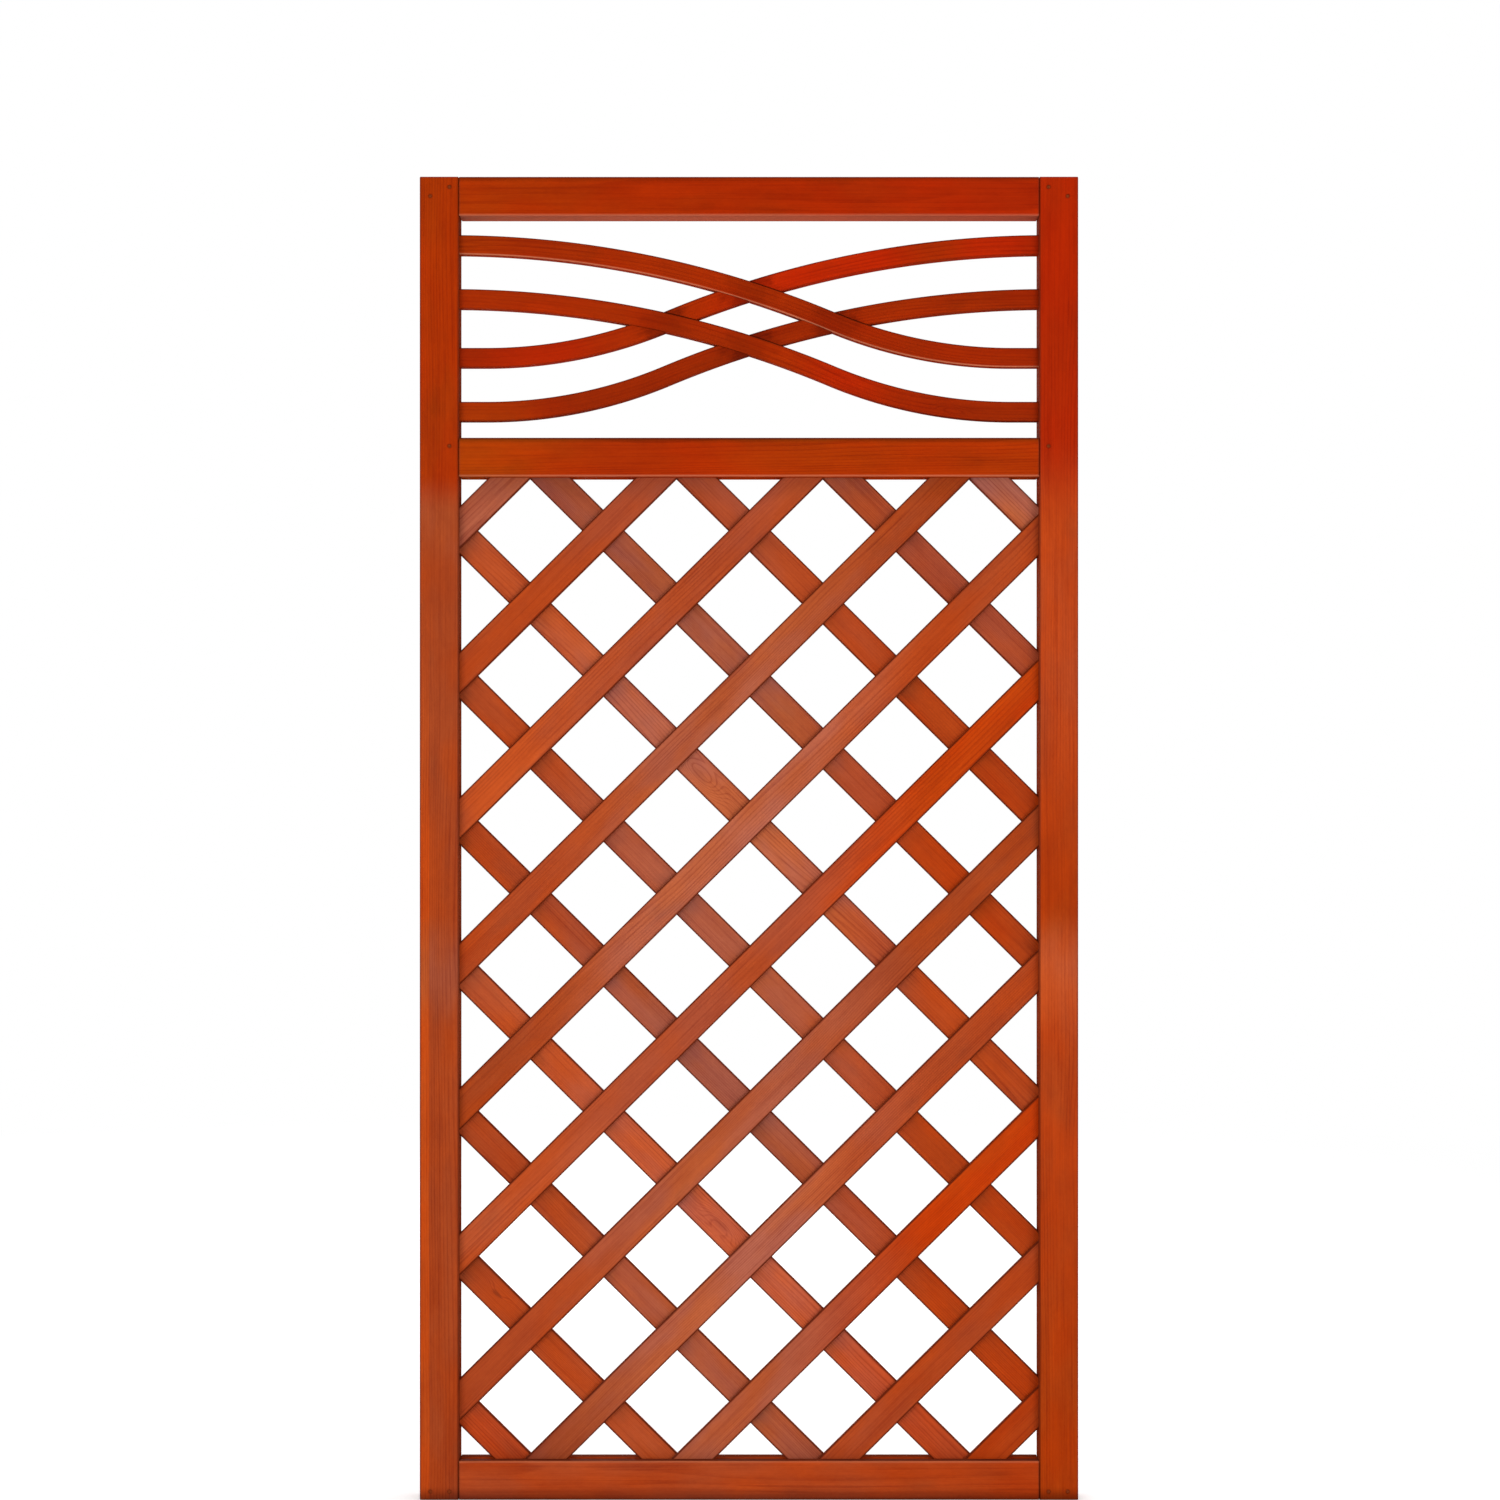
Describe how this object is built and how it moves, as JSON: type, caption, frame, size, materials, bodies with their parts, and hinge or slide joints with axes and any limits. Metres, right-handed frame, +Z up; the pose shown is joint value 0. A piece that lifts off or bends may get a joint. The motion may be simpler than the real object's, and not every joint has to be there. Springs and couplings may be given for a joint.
{
  "type": "trellis fence panel",
  "caption": "Framed wooden trellis panel: a diagonal two-layer lattice below a band of crossing S-curved slats, for climbing plants or as a screen between posts.",
  "frame": {"origin": "middle of the bottom edge, at the centre of the panel's box in plan", "axes": "+Z up the stiles; +X to the right seen from the front; +Y to the back, through the thickness"},
  "size_m": [0.896, 0.045, 1.8],
  "materials": {
    "stile_stain": "red-brown stained softwood, satin",
    "upper_stain": "deep red-brown stained softwood, satin",
    "lower_stain": "red-brown stained softwood, satin",
    "lath_stain": "red-brown stained softwood, lightly sanded",
    "nail_steel": "dark, stained over with the wood"
  },
  "bodies": {
    "root": {"left_stile": "stile_stain", "right_stile": "stile_stain", "top_rail": "upper_stain", "middle_rail": "upper_stain", "bottom_rail": "lower_stain", "curved_slat_upper_front": "upper_stain", "curved_slat_upper_back": "upper_stain", "curved_slat_lower_front": "upper_stain", "curved_slat_lower_back": "upper_stain", "front_lath_01": "lath_stain", "front_lath_02": "lath_stain", "front_lath_03": "lath_stain", "front_lath_04": "lath_stain", "front_lath_05": "lath_stain", "front_lath_06": "lath_stain", "front_lath_07": "lath_stain", "front_lath_08": "lath_stain", "front_lath_09": "lath_stain", "front_lath_10": "lath_stain", "front_lath_11": "lath_stain", "back_lath_01": "lath_stain", "back_lath_02": "lath_stain", "back_lath_03": "lath_stain", "back_lath_04": "lath_stain", "back_lath_05": "lath_stain", "back_lath_06": "lath_stain", "back_lath_07": "lath_stain", "back_lath_08": "lath_stain", "back_lath_09": "lath_stain", "back_lath_10": "lath_stain", "back_lath_11": "lath_stain", "nail_left_top_inner": "nail_steel", "nail_left_top_outer": "nail_steel", "nail_left_middle": "nail_steel", "nail_left_bottom_inner": "nail_steel", "nail_left_bottom_outer": "nail_steel", "nail_right_top_inner": "nail_steel", "nail_right_top_outer": "nail_steel", "nail_right_middle": "nail_steel", "nail_right_bottom_inner": "nail_steel", "nail_right_bottom_outer": "nail_steel"}
  },
  "joints": []
}
